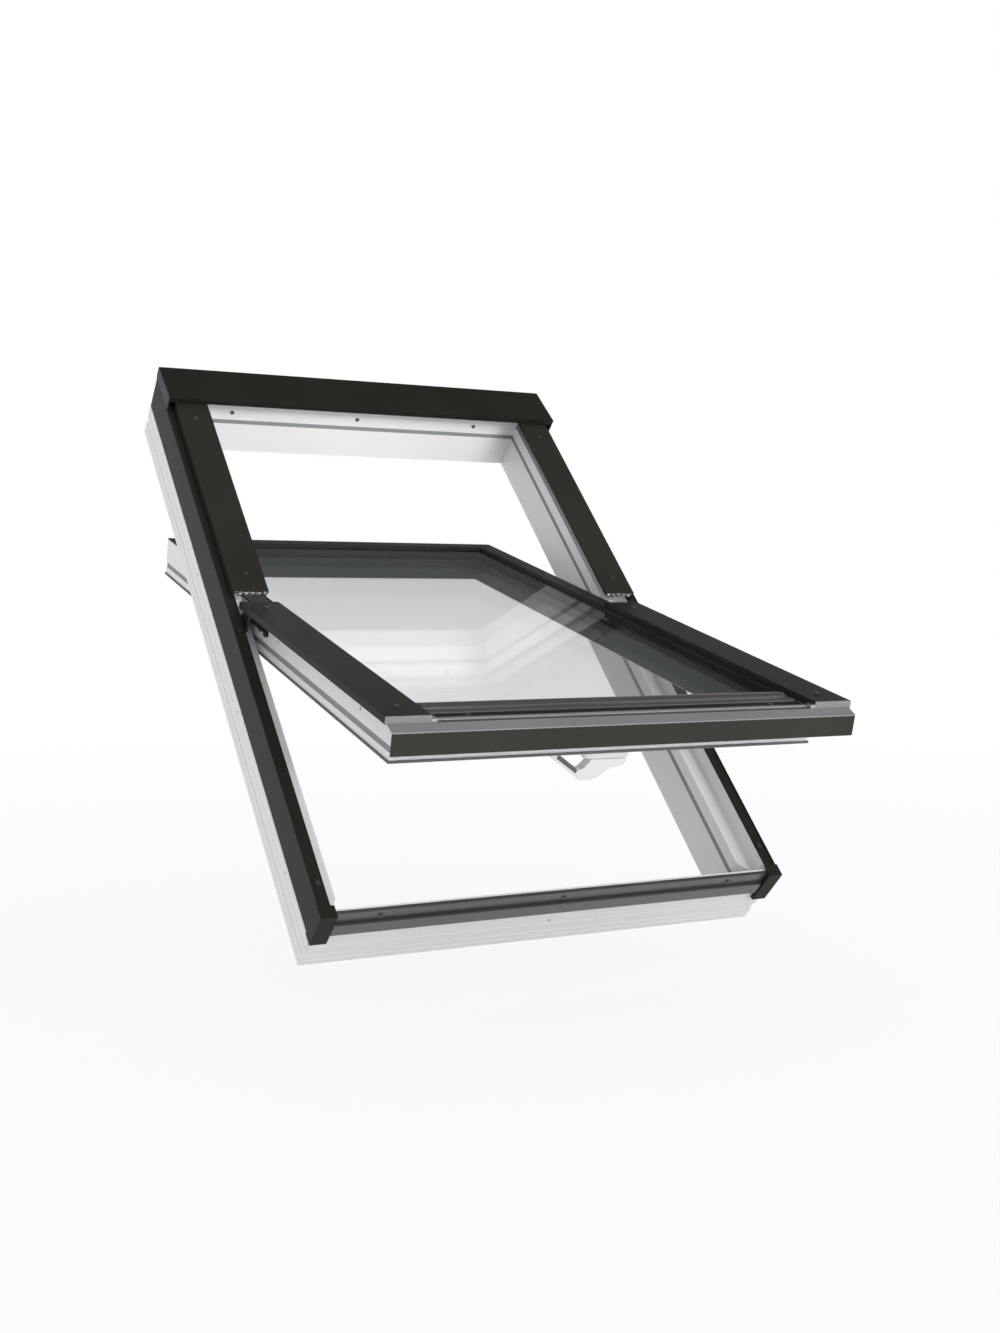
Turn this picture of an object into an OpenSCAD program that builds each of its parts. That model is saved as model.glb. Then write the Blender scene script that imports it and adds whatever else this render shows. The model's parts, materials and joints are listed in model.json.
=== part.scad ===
// Centre-pivot roof window: a white plastic frame set at the roof's pitch,
// and a glazed sash that swings about a pivot at mid height.
// Every piece is drawn in the plane of the roof (x across, y up the slope,
// z outward from the room face) and then tilted to the pitch.

/* [Overall] */
// Width of the frame across the roof
frame_w = 780; // [660:10:1140]
// Length of the frame up the slope
frame_h = 1180; // [980:10:1400]
// Depth from the room face to the outer face of the covers
frame_depth = 144; // [140:1:160]
// Pitch of the roof in degrees
roof_pitch = 45; // [15:1:70]
// Angle to which the sash stands open, in degrees
open_angle = 31.5; // [0:0.5:90]

/* [Frame profile] */
// Thickness of the frame members
profile_t = 44; // [40:1:50]
// Thickness of the upstand along the jambs
upstand_t = 20; // [16:1:20]
// Depth of the upstand's top below the cover plane
upstand_drop = 18; // [17:0.5:20]
// Depth of the jamb shelf below the cover plane
shelf_drop = 49; // [46:1:56]
// Depth of the sill shoulder below the cover plane
shoulder_drop = 83; // [82:1:90]
// Thickness of the upstand along the sill
sill_upstand_t = 8; // [6:0.5:10]
// Depth of the head's top below the cover plane
head_drop = 26; // [22:1:32]
// Depth below the cover plane at which the dark cladding of the sides ends
side_drop = 80; // [66:1:82]
// Height of the shallow groove along the outer sides
side_groove_w = 16; // [10:1:18]
// Depth of that groove
side_groove_d = 1.5; // [1:0.5:3]
// Height of the groove's lower edge above the room face
side_groove_z = 22; // [16:1:24]
// Depth of the seal groove's top below the cover plane
seal_drop = 70; // [66:1:72]
// Height of the seal groove
seal_w = 9; // [7:0.5:11]
// Depth of the seal groove
seal_d = 3; // [2:0.5:4]

/* [Fixing holes] */
// Radius of the bracket screw holes in the sides
hole_r = 2.5; // [2:0.25:3.5]
// Depth of the bracket screw holes
hole_depth = 20; // [12:1:28]
// Height of the bracket screw holes above the room face
hole_z = 52; // [46:1:58]
// Distance between the two inner holes of a side
hole_pitch_in = 310; // [240:10:360]
// Distance between the two outer holes of a side
hole_pitch_out = 930; // [700:10:940]
// Radius of the hole in the sill's face
sill_hole_r = 3; // [2:0.5:4]
// Height of the sill's hole above the room face
sill_hole_z = 50; // [44:1:58]

/* [Cladding] */
// Thickness of the side channels
channel_t = 1.5; // [1:0.25:2.5]
// Height of the ridge along a side channel
ridge_h = 2; // [1:0.5:2.5]
// Width of the ridge along a side channel
ridge_w = 3; // [2:0.5:4]
// Thickness of the covers
cover_t = 2; // [1:0.25:2.5]
// Inset of the fixed covers' outer edge from the frame's side
upper_inset = 13; // [12.5:0.5:15]
// Width of the fixed covers
upper_w = 59; // [52:1:64]
// Height of the inner lip of the fixed covers
upper_lip = 6; // [3:0.5:7]
// Distance of the fixed covers' lower end above the pivot
upper_rise = 26; // [25:0.5:34]
// Length of the hood up the slope
hood_len = 93; // [70:1:120]
// Height of the hood's upper edge above the cover plane
hood_back = 6; // [5:0.5:10]
// Height of the hood's lower edge above the cover plane
hood_front = 12.5; // [8:0.5:18]
// Gap below the hood's front lip
hood_gap = 1; // [0.5:0.5:2]
// Length of the hood's leg below the head's top
hood_leg = 20; // [10:1:30]
// Thickness of the hood's end caps
cap_t = 3; // [2:0.5:4]
// Depth below the cover plane at which the sill's cladding ends
sill_clad_drop = 64; // [60:1:66]
// Lap of the sill cover over the upstand
sill_lap = 4; // [2:0.5:5]
// Height of the proud strip of the sill cover
strip_h = 24; // [18:1:28]
// Thickness of the proud strip
strip_t = 5; // [3:0.5:7]
// Length of a sill corner across the roof
corner_w = 24; // [24:1:32]
// Reach of a sill corner past the frame's lower end
corner_out = 9; // [8:0.5:10]
// Wall of a sill corner at its side and top
corner_t = 1.5; // [1:0.25:2]
// Lap of a sill corner up the slope
corner_lap = 12; // [10:1:20]
// Gap between cladding pieces that lie end to end
end_gap = 1.5; // [0.5:0.25:2.5]

/* [Sash] */
// Gap between sash and jamb
sash_gap = 4; // [4:0.25:6]
// Gap between sash and head
head_gap = 5; // [4:0.5:8]
// Gap between sash and sill upstand
sill_gap = 9; // [9:0.5:12]
// Depth of the sash's room face below the cover plane
room_drop = 80; // [78:0.5:80]
// Depth of the sash's top below the cover plane
sash_drop = 12; // [11:0.5:13]
// Width of the stiles
stile_w = 48; // [44:1:56]
// Width of the top rail
top_rail_w = 48; // [44:1:56]
// Width of the bottom rail
bottom_rail_w = 72; // [68:1:84]
// Width of the sash outside the glass
rebate_w = 24; // [22:1:26]
// Gap round the edge of the glass
rebate_gap = 2; // [1:0.5:3]
// Chamfer along the room side of the rails
reveal_c = 2; // [1:0.5:6]
// Depth of the recess round the sash
band_d = 3; // [2:0.5:4]
// Height of the recess round the sash
band_w = 9; // [7:0.5:10]
// Depth of the recess below the cover plane
band_drop = 56; // [55:0.5:58]
// Thickness of the strip in the recess
band_t = 2; // [1:0.25:2]
// Height of the seal round the room side of the sash
lip_h = 4; // [3:0.5:5]
// Reach of the seal round the room side of the sash
lip_t = 2; // [1.5:0.25:2.5]

/* [Glazing] */
// Thickness of each pane
pane_t = 4; // [3:0.5:6]
// Space between the panes
cavity_t = 16; // [12:1:16]
// Thickness of the glazing seals
bead_t = 2; // [1.5:0.25:2.5]
// Lap of the trim over the glass
glass_lap = 10; // [8:0.5:12]
// Width of the spacer between the panes
spacer_w = 12; // [8:1:14]
// Distance of the spacer from the edge of the glass
spacer_in = 2; // [1:0.5:3]
// Thickness of the lining round the glass on the room side
lining_t = 1.5; // [1:0.25:2.5]
// Setback of the inner glazing seal from the sash's edge
bead_in = 2; // [1:0.5:3]

/* [Sash cladding] */
// Thickness of the thin trim
trim_t = 2.5; // [2:0.25:3]
// Inset of the sash covers' outer edge from the frame's side
cover_inset = 17; // [16:0.5:18]
// Height of the sash covers' outer lip
cover_lip = 11; // [8:0.5:11]
// Distance of the sash covers' upper end below the pivot
cover_gap = 3; // [3:0.5:6]
// Reach of the front fascia past the frame's lower end
front_over = 48; // [44:1:60]
// Length of the sloping strip above the fascia
bevel_len = 18; // [14:1:28]
// Fall of the sloping strip
bevel_fall = 6.5; // [4:0.5:12]
// Height of the front fascia
fascia_h = 30; // [22:1:34]
// Inset of the fascia's ends from the frame's side
front_inset = 20; // [18:1:24]
// Width of the clips at the front corners
clip_w = 8; // [5:0.5:10]
// Length of those clips
clip_len = 12; // [8:1:18]
// Height of those clips
clip_h = 5; // [3:0.5:8]

/* [Hinges] */
// Distance of the pivot below the frame's middle
pivot_below = 4; // [0:0.5:10]
// Depth of the pivot below the cover plane
pivot_drop = 10; // [9.5:0.25:11]
// Radius of the hinge pin
pin_r = 4; // [3:0.25:4.5]
// Clearance round the hinge pin
pin_clear = 0.05; // [0.03:0.01:0.1]
// Radius of the hinge eyes
eye_r = 7; // [6.5:0.25:7.25]
// Length of the sash plate's boss
boss_len = 10; // [8:0.5:12]
// Gap between the two halves of a hinge
hinge_gap = 1; // [0.5:0.25:2]
// Thickness of the sash plate
plate_t = 3; // [2:0.25:3]
// Half length of the sash plate
plate_half = 22; // [18:1:28]
// Height of the sash plate
plate_h = 30; // [24:1:34]
// Thickness of the frame bracket
bracket_t = 4; // [3:0.5:5]
// Half length of the frame bracket
bracket_half = 18; // [14:1:24]
// Thickness of the bracket's foot
foot_t = 3; // [2:0.5:4]
// Gap between the pin's end and the stile
pin_end = 0.5; // [0.25:0.25:1]

/* [Handle and lock] */
// Distance of the handle's axis from the middle of the rail
handle_x = 42; // [30:1:60]
// Distance of the handle's axis above the sash's lower end
handle_up = 50; // [49:1:54]
// Reach of the handle's base from the axis, under the bow
base_reach = 50; // [40:1:60]
// Reach of the handle's base from the axis, the other way
base_end = 4; // [2:0.5:10]
// Radius of the base's round ends
base_r = 12; // [9:0.5:12]
// Thickness of the handle's base
base_t = 10; // [6:0.5:14]
// Radius of the handle's hub
hub_r = 11; // [9:0.5:12]
// Length of the handle's hub
hub_len = 14; // [12:0.5:20]
// Radius of the bow's outer curve
bow_r = 65; // [60:1:70]
// Radius of the bow's inner curve
bow_in_r = 54; // [51:1:56]
// Distance of the bow's middle from the axis
bow_back = 53; // [50:1:55]
// Shift of the inner curve away from the axis
bow_shift = 5.5; // [3:0.5:6]
// Drop of the bow below the hub's top
bow_drop = 45; // [40:1:46]
// Thickness of the bow at its lowest point
bow_t = 13; // [10:0.5:15]
// Width of the grip
grip_w = 18; // [14:0.5:20]
// Radius of the spindle
spindle_r = 4; // [3:0.25:5]
// Length of the spindle into the rail
spindle_len = 14; // [8:1:16]
// Gap between hub and base
hub_gap = 0.3; // [0.2:0.05:0.6]
// Radius of the lock bolt
bolt_r = 4.5; // [3.5:0.25:5]
// Length of the lock bolt
bolt_len = 34; // [26:1:36]
// Depth of the lock bolt below the cover plane
bolt_drop = 47; // [46.5:0.25:48]
// Clearance round the lock bolt
bolt_clear = 0.05; // [0.03:0.01:0.1]
// Setback of the bolt's end when drawn back
bolt_back = 0.5; // [0.25:0.25:1]
// Length of the bolt's bore behind the drawn bolt
bolt_room = 4; // [2:0.5:6]
// Clearance of the striker round the bolt
striker_clear = 1.5; // [1:0.25:2.5]
// Thickness of the striker plate
striker_t = 1.25; // [1:0.25:1.5]
// Half width of the striker plate
striker_half = 20; // [14:1:26]
// Half height of the striker plate
striker_rise = 11; // [9:0.5:13]

/* [Screws] */
// Radius of the screw heads
head_r = 4; // [3:0.25:5]
// Height of the screw heads
head_h = 1.5; // [1:0.25:2.5]
// Radius of the socket in the screw heads
socket_r = 1.75; // [1:0.25:2]
// Depth of the socket in the screw heads
socket_d = 0.8; // [0.4:0.1:0.9]
// Distance of the end screws from the ends of a cover
screw_in = 40; // [24:1:60]
// Distance of the outer screws of the sill from the frame's side
screw_side = 94; // [80:1:120]
// Distance of the outer screws of the head strip from the frame's side
head_screw_side = 140; // [110:1:170]
// Distance of the sill screws below the cover plane
screw_drop = 30; // [28:1:34]
// Distance of the head strip screws below the cover plane
head_screw_drop = 52; // [44:1:58]
// Distance of the bottom strip's screws from the strip's ends
strip_side = 63; // [40:1:90]
// Radius of the holes in the sides of the sash
side_hole_r = 3; // [2:0.25:4]
// Depth of the holes in the sides of the sash
side_hole_d = 6; // [4:0.5:10]
// Distance of those holes from the sash's lower end and from the pivot
side_hole_in = 110; // [80:5:160]
// Height of those holes above the recess
side_hole_up = 18; // [12:1:24]

/* [Hidden] */
$fn = 64;

white = [0.93, 0.93, 0.92];
dark = [0.2, 0.19, 0.18];
black = [0.06, 0.06, 0.06];
grey = [0.55, 0.56, 0.57];
pale = [0.62, 0.62, 0.61];
bright = [0.78, 0.78, 0.78];
slate = [0.25, 0.29, 0.31];
tint = [0.55, 0.65, 0.68, 0.4];

// Run of every cut past the face it opens
overrun = frame_depth / 40;

// Frame
half_w = frame_w / 2;
half_h = frame_h / 2;
inner_x = half_w - profile_t;
inner_y = half_h - profile_t;
upstand_x = half_w - upstand_t;
sill_y = half_h - sill_upstand_t;
z_up = frame_depth - upstand_drop;
z_shelf = frame_depth - shelf_drop;
z_shoulder = frame_depth - shoulder_drop;
z_head = frame_depth - head_drop;
z_side = frame_depth - side_drop;
z_sill = frame_depth - sill_clad_drop;
z_seal = frame_depth - seal_drop;
z_corner = z_up + ridge_h;
groove_top = side_groove_z + side_groove_w;

// Sash
pivot_y = -pivot_below;
pivot_z = frame_depth - pivot_drop;
sash_x = inner_x - sash_gap;
sash_top = inner_y - head_gap;
sash_bot = -(sill_y - sill_gap);
z_room = frame_depth - room_drop;
z_sash = frame_depth - sash_drop;
z_glass = z_sash - bead_t;
z_igu = z_glass - 2 * pane_t - cavity_t;
z_lip = z_igu - bead_t;
z_band = frame_depth - band_drop;
lip_x = sash_x - stile_w;
lip_top = sash_top - top_rail_w;
lip_bot = sash_bot + bottom_rail_w;
rebate_x = sash_x - rebate_w;
rebate_top = sash_top - rebate_w;
rebate_bot = sash_bot + rebate_w;
glass_x = rebate_x - rebate_gap;
glass_top = rebate_top - rebate_gap;
glass_bot = rebate_bot + rebate_gap;
lap_x = rebate_x - glass_lap;
lap_top = rebate_top - glass_lap;
lap_bot = rebate_bot + glass_lap;
bottom_slope = bottom_rail_w / stile_w;
top_slope = top_rail_w / stile_w;

// Sash cladding
cover_x = half_w - cover_inset;
cover_top = pivot_y - cover_gap;
front_y = -(half_h + front_over);
bevel_y = front_y + bevel_len;
cover_bot = bevel_y + cover_t;
front_x = half_w - front_inset;
z_bevel = z_sash + trim_t;
z_fascia = z_bevel - bevel_fall;
bevel_slope = bevel_fall / bevel_len;
upper_x = half_w - upper_inset;
upper_y = pivot_y + upper_rise;

// Hinges, handle and lock
boss_x = sash_x + boss_len;
bracket_x = boss_x + hinge_gap;
handle_y = sash_bot + handle_up;
z_base = z_room - base_t;
z_hub = z_base - hub_gap;
bolt_z = frame_depth - bolt_drop;
bolt_y = sash_bot + bolt_back;
screw_ys = [cover_bot + screw_in, cover_top - screw_in];
channel_screw_ys = [-half_h + corner_lap + screw_in, cover_top - screw_in];
across = [screw_side - half_w, 0, half_w - screw_side];
head_across = [head_screw_side - half_w, 0, half_w - head_screw_side];
side_hole_ys = [sash_bot + side_hole_in, pivot_y - side_hole_in];

// Tilts a piece of the frame to the pitch of the roof
module at_roof() {
  rotate([roof_pitch, 0, 0])
    translate([0, half_h - profile_t / 2, 0])
      children();
}

// Swings a piece of the sash about the pivot
module at_sash() {
  at_roof()
    translate([0, pivot_y, pivot_z])
      rotate([-open_angle, 0, 0])
        translate([0, -pivot_y, -pivot_z])
          children();
}

// Mirrors a right-hand piece to the left
module to_left() {
  mirror([1, 0, 0])
    children();
}

// Block between two corners
module block(low, high) {
  translate(low)
    cube(high - low);
}

// Bar along x with its section in y and z
module bar_x(length) {
  rotate([90, 0, 90])
    linear_extrude(height = length, center = true)
      children();
}

// Bar along y from one end to the other with its section in x and z
module bar_y(from, to) {
  translate([0, to, 0])
    rotate([90, 0, 0])
      linear_extrude(height = to - from)
        children();
}

// Bar across x with its section in y and z, from one side to the other
module bar_across(from, to) {
  translate([(from + to) / 2, 0, 0])
    bar_x(to - from)
      children();
}

// Flat ring between an outer and an inner rectangle
module ring(out_x, out_low, out_high, in_x, in_low, in_high, low, high) {
  difference() {
    block([-out_x, out_low, low], [out_x, out_high, high]);
    block([-in_x, in_low, low - overrun], [in_x, in_high, high + overrun]);
  }
}

// Outline of a member cut to its mitres, extended past both ends of the mitre
module mitre(points) {
  translate([0, 0, -overrun])
    linear_extrude(height = frame_depth + 2 * overrun)
      polygon(points);
}

// Corners of the frame's mitres
function frame_corner(reach) = [half_w + reach, half_h + reach];
out_c = frame_corner(overrun);
in_c = frame_corner(-profile_t - overrun);

// Corners of the sash's mitres
top_out = [sash_x + overrun, sash_top + overrun * top_slope];
top_in = [lip_x - overrun, lip_top - overrun * top_slope];
bot_out = [sash_x + overrun, sash_bot - overrun * bottom_slope];
bot_in = [lip_x - overrun, lip_bot + overrun * bottom_slope];

function left_of(p) = [-p[0], p[1]];
function below(p) = [p[0], -p[1]];

// Section of a jamb
module jamb_section() {
  polygon([
    [inner_x, 0], [half_w, 0],
    [half_w, side_groove_z], [half_w - side_groove_d, side_groove_z],
    [half_w - side_groove_d, groove_top], [half_w, groove_top],
    [half_w, z_side], [half_w - channel_t, z_side],
    [half_w - channel_t, z_up - channel_t], [upstand_x, z_up - channel_t],
    [upstand_x, z_shelf], [inner_x, z_shelf],
    [inner_x, z_seal], [inner_x + seal_d, z_seal],
    [inner_x + seal_d, z_seal - seal_w], [inner_x, z_seal - seal_w]
  ]);
}

module jamb() {
  difference() {
    intersection() {
      bar_y(-half_h, half_h)
        jamb_section();
      mitre([below(out_c), out_c, in_c, below(in_c)]);
    }
    for (y = [-hole_pitch_out, -hole_pitch_in, hole_pitch_in, hole_pitch_out])
      translate([half_w - hole_depth, y / 2, hole_z])
        rotate([0, 90, 0])
          cylinder(r = hole_r, h = hole_depth + overrun);
  }
}

module frame_jamb_right() {
  color(white)
    at_roof()
      jamb();
}

module frame_jamb_left() {
  color(white)
    at_roof()
      to_left()
        jamb();
}

module frame_head() {
  color(white)
    at_roof()
      intersection() {
        bar_x(frame_w)
          polygon([
            [inner_y, 0], [half_h, 0],
            [half_h, side_groove_z], [half_h - side_groove_d, side_groove_z],
            [half_h - side_groove_d, groove_top], [half_h, groove_top],
            [half_h, z_head], [inner_y, z_head],
            [inner_y, z_seal], [inner_y + seal_d, z_seal],
            [inner_y + seal_d, z_seal - seal_w], [inner_y, z_seal - seal_w]
          ]);
        mitre([left_of(out_c), out_c, in_c, left_of(in_c)]);
      }
}

module frame_sill() {
  color(white)
    at_roof()
      difference() {
        intersection() {
          bar_x(frame_w)
            polygon([
              [-inner_y, 0], [-inner_y, z_shoulder], [-sill_y, z_shoulder],
              [-sill_y, z_up - cover_t], [-half_h, z_up - cover_t],
              [-half_h, groove_top], [side_groove_d - half_h, groove_top],
              [side_groove_d - half_h, side_groove_z], [-half_h, side_groove_z],
              [-half_h, 0]
            ]);
          mitre([below(left_of(out_c)), below(out_c), below(in_c), below(left_of(in_c))]);
        }
        translate([0, -half_h - overrun, sill_hole_z])
          rotate([-90, 0, 0])
            cylinder(r = sill_hole_r, h = hole_depth + overrun);
        striker_bore();
        for (side = [0, 1])
          mirror([side, 0, 0])
            block([half_w - channel_t, -half_h - overrun, z_side], [half_w + overrun, -inner_y, frame_depth]);
      }
}

// Bore for the lock bolt through striker and upstand
module striker_bore() {
  translate([0, -half_h - overrun, bolt_z])
    rotate([-90, 0, 0])
      cylinder(r = bolt_r + striker_clear, h = sill_upstand_t + striker_t + 2 * overrun);
}

module frame_seal() {
  z_low = z_seal - seal_w;
  color(grey)
    at_roof()
      union() {
        block([-inner_x - seal_d, inner_y, z_low], [inner_x + seal_d, inner_y + seal_d, z_seal]);
        for (side = [0, 1])
          mirror([side, 0, 0])
            block([inner_x, -inner_y, z_low], [inner_x + seal_d, inner_y, z_seal]);
      }
}

module sill_seal() {
  color(black)
    at_roof()
      block(
        [-inner_x + seal_w, -sill_y + sill_gap, z_shoulder],
        [inner_x - seal_w, -sill_y + sill_gap + seal_w, z_shoulder + bead_t]
      );
}

module channel() {
  bar_y(-half_h, half_h - cover_t)
    polygon([
      [half_w - channel_t, z_side], [half_w, z_side],
      [half_w, z_up + ridge_h], [half_w - ridge_w, z_up + ridge_h],
      [half_w - ridge_w, z_up], [upstand_x, z_up],
      [upstand_x, z_up - channel_t], [half_w - channel_t, z_up - channel_t]
    ]);
}

module side_channel_right() {
  color(dark)
    at_roof()
      channel();
}

module side_channel_left() {
  color(dark)
    at_roof()
      to_left()
        channel();
}

module upper_cover() {
  low = upper_x - upper_w;
  bar_y(upper_y, inner_y)
    polygon([
      [low, frame_depth], [upper_x, frame_depth],
      [upper_x, z_up], [upper_x - cover_t, z_up],
      [upper_x - cover_t, frame_depth - cover_t], [low + cover_t, frame_depth - cover_t],
      [low + cover_t, frame_depth - upper_lip], [low, frame_depth - upper_lip]
    ]);
}

module upper_cover_right() {
  color(dark)
    at_roof()
      upper_cover();
}

module upper_cover_left() {
  color(dark)
    at_roof()
      to_left()
        upper_cover();
}

// Plate that closes the lower end of a fixed cover
module upper_end() {
  block(
    [upper_x - upper_w + cover_t, upper_y, frame_depth - upper_lip],
    [upper_x - cover_t, upper_y + cap_t, frame_depth - cover_t]
  );
}

module upper_end_right() {
  color(bright)
    at_roof()
      upper_end();
}

module upper_end_left() {
  color(bright)
    at_roof()
      to_left()
        upper_end();
}

module hood() {
  low = half_h - hood_len;
  back = frame_depth + hood_back;
  front = frame_depth + hood_front;
  color(dark)
    at_roof()
      bar_x(frame_w - 2 * cap_t)
        polygon([
          [half_h, z_head - hood_leg], [half_h + cover_t, z_head - hood_leg],
          [half_h + cover_t, back], [low, front],
          [low, frame_depth + hood_gap], [low + cover_t, frame_depth + hood_gap],
          [low + cover_t, front - cover_t], [half_h, back - cover_t]
        ]);
}

module hood_cap() {
  low = half_h - hood_len;
  bar_across(half_w - cap_t, half_w)
    polygon([
      [low, z_corner], [half_h + cover_t, z_corner],
      [half_h + cover_t, frame_depth + hood_back], [low, frame_depth + hood_front]
    ]);
}

module hood_cap_right() {
  color(black)
    at_roof()
      hood_cap();
}

module hood_cap_left() {
  color(black)
    at_roof()
      to_left()
        hood_cap();
}

module sill_cover() {
  front = -half_h - cover_t;
  color(dark)
    at_roof()
      bar_x(2 * (upstand_x - end_gap))
        polygon([
          [front, z_sill], [-half_h, z_sill],
          [-half_h, z_up - cover_t], [sill_lap - half_h, z_up - cover_t],
          [sill_lap - half_h, z_up], [front, z_up]
        ]);
}

module sill_strip() {
  front = -half_h - cover_t;
  reach = half_w - corner_w - end_gap;
  color(dark)
    at_roof()
      block([-reach, front - strip_t, z_sill], [reach, front, z_sill + strip_h]);
}

module sill_corner() {
  low = half_w - corner_w;
  high = -half_h + corner_lap;
  difference() {
    block([low, -half_h - corner_out, z_side], [half_w + corner_t, high, z_corner + corner_t]);
    block([low - overrun, -half_h - cover_t, z_side - overrun], [half_w, high + overrun, z_corner]);
  }
}

module sill_corner_right() {
  color(dark)
    at_roof()
      sill_corner();
}

module sill_corner_left() {
  color(dark)
    at_roof()
      to_left()
        sill_corner();
}

// Bracket on the jamb shelf that carries the pivot pin
module bracket() {
  bar_across(bracket_x, bracket_x + bracket_t) {
    polygon([
      [pivot_y - bracket_half, z_shelf], [pivot_y + bracket_half, z_shelf],
      [pivot_y + eye_r, pivot_z], [pivot_y - eye_r, pivot_z]
    ]);
    translate([pivot_y, pivot_z])
      circle(r = eye_r);
  }
  block(
    [bracket_x, pivot_y - bracket_half, z_shelf],
    [upstand_x, pivot_y + bracket_half, z_shelf + foot_t]
  );
  translate([sash_x + pin_end, pivot_y, pivot_z])
    rotate([0, 90, 0])
      cylinder(r = pin_r, h = bracket_x + bracket_t - sash_x - pin_end);
}

module hinge_bracket_right() {
  color(bright)
    at_roof()
      bracket();
}

module hinge_bracket_left() {
  color(bright)
    at_roof()
      to_left()
        bracket();
}

module striker_plate() {
  color(bright)
    at_roof()
      difference() {
        block(
          [-striker_half, -sill_y, bolt_z - striker_rise],
          [striker_half, striker_t - sill_y, bolt_z + striker_rise]
        );
        striker_bore();
      }
}

// Screw head that stands on a face and points along z
module screw() {
  difference() {
    cylinder(r = head_r, h = head_h);
    translate([0, 0, head_h - socket_d])
      cylinder(r = socket_r, h = socket_d + overrun, $fn = 6);
  }
}

module frame_screws() {
  color(bright)
    at_roof()
      union() {
        for (side = [-1, 1]) {
          for (y = [upper_y + screw_in, half_h - hood_len - screw_in])
            translate([side * (upper_x - upper_w / 2), y, frame_depth])
              screw();
          for (y = channel_screw_ys)
            translate([side * (half_w - ridge_w - (upstand_t - ridge_w) / 2), y, z_up])
              screw();
        }
        for (x = across)
          translate([x, -half_h - cover_t, frame_depth - screw_drop])
            rotate([90, 0, 0])
              screw();
        for (x = head_across)
          translate([x, inner_y, frame_depth - head_screw_drop])
            rotate([90, 0, 0])
              screw();
      }
}

// Section of a stile
module stile_section() {
  polygon([
    [lip_x + reveal_c, z_room], [sash_x, z_room],
    [sash_x, z_band - band_w], [sash_x - band_d, z_band - band_w],
    [sash_x - band_d, z_band], [sash_x, z_band],
    [sash_x, z_sash], [rebate_x, z_sash],
    [rebate_x, z_lip], [lip_x, z_lip], [lip_x, z_room + reveal_c]
  ]);
}

module stile() {
  difference() {
    intersection() {
      bar_y(sash_bot, sash_top)
        stile_section();
      mitre([bot_out, top_out, top_in, bot_in]);
    }
    for (y = side_hole_ys)
      translate([sash_x - side_hole_d, y, z_band + side_hole_up])
        rotate([0, 90, 0])
          cylinder(r = side_hole_r, h = side_hole_d + overrun);
  }
}

module sash_stile_right() {
  color(white)
    at_sash()
      stile();
}

module sash_stile_left() {
  color(white)
    at_sash()
      to_left()
        stile();
}

module sash_top_rail() {
  color(white)
    at_sash()
      intersection() {
        bar_x(2 * sash_x)
          polygon([
            [lip_top + reveal_c, z_room], [sash_top, z_room],
            [sash_top, z_band - band_w], [sash_top - band_d, z_band - band_w],
            [sash_top - band_d, z_band], [sash_top, z_band],
            [sash_top, z_sash], [rebate_top, z_sash],
            [rebate_top, z_lip], [lip_top, z_lip], [lip_top, z_room + reveal_c]
          ]);
        mitre([left_of(top_out), top_out, top_in, left_of(top_in)]);
      }
}

module sash_bottom_rail() {
  color(white)
    at_sash()
      difference() {
        intersection() {
          bar_x(2 * sash_x)
            polygon([
              [lip_bot - reveal_c, z_room], [lip_bot, z_room + reveal_c],
              [lip_bot, z_lip], [rebate_bot, z_lip], [rebate_bot, z_sash],
              [sash_bot, z_sash], [sash_bot, z_band],
              [sash_bot + band_d, z_band], [sash_bot + band_d, z_band - band_w],
              [sash_bot, z_band - band_w], [sash_bot, z_room]
            ]);
          mitre([left_of(bot_out), bot_out, bot_in, left_of(bot_in)]);
        }
        translate([0, sash_bot - overrun, bolt_z])
          rotate([-90, 0, 0])
            cylinder(r = bolt_r + bolt_clear, h = overrun + bolt_back + bolt_len + bolt_room);
        for (side = [0, 1])
          mirror([side, 0, 0])
            block(
              [sash_x - band_d, sash_bot - overrun, z_band - band_w],
              [sash_x + overrun, lip_bot, z_band]
            );
        translate([handle_x, handle_y, z_room - overrun])
          cylinder(r = spindle_r + rebate_gap, h = overrun + spindle_len + rebate_gap);
      }
}

module pane(low) {
  block([-glass_x, glass_bot, low], [glass_x, glass_top, low + pane_t]);
}

module outer_pane() {
  color(tint)
    at_sash()
      pane(z_glass - pane_t);
}

module inner_pane() {
  color(tint)
    at_sash()
      pane(z_igu);
}

module glass_spacer() {
  width = spacer_in + spacer_w;
  color(black)
    at_sash()
      ring(
        glass_x - spacer_in, glass_bot + spacer_in, glass_top - spacer_in,
        glass_x - width, glass_bot + width, glass_top - width,
        z_igu + pane_t, z_igu + pane_t + cavity_t
      );
}

module outer_bead() {
  color(black)
    at_sash()
      ring(
        glass_x, glass_bot, glass_top, lap_x + bead_in, lap_bot - bead_in, lap_top + bead_in,
        z_glass, z_sash
      );
}

module inner_bead() {
  color(black)
    at_sash()
      ring(
        glass_x, glass_bot, glass_top,
        lip_x + bead_in, lip_bot - bead_in, lip_top + bead_in,
        z_lip, z_igu
      );
}

module sash_cover() {
  bar_y(cover_bot, cover_top)
    polygon([
      [lap_x, frame_depth], [cover_x, frame_depth],
      [cover_x, frame_depth - cover_lip], [cover_x - cover_t, frame_depth - cover_lip],
      [cover_x - cover_t, frame_depth - cover_t], [lap_x + cover_t, frame_depth - cover_t],
      [lap_x + cover_t, z_sash], [lap_x, z_sash]
    ]);
}

module sash_cover_right() {
  color(dark)
    at_sash()
      sash_cover();
}

module sash_cover_left() {
  color(dark)
    at_sash()
      to_left()
        sash_cover();
}

module cover_end() {
  block([lap_x, bevel_y, frame_depth - cover_lip], [cover_x, cover_bot, frame_depth]);
}

module cover_end_right() {
  color(pale)
    at_sash()
      cover_end();
}

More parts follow.
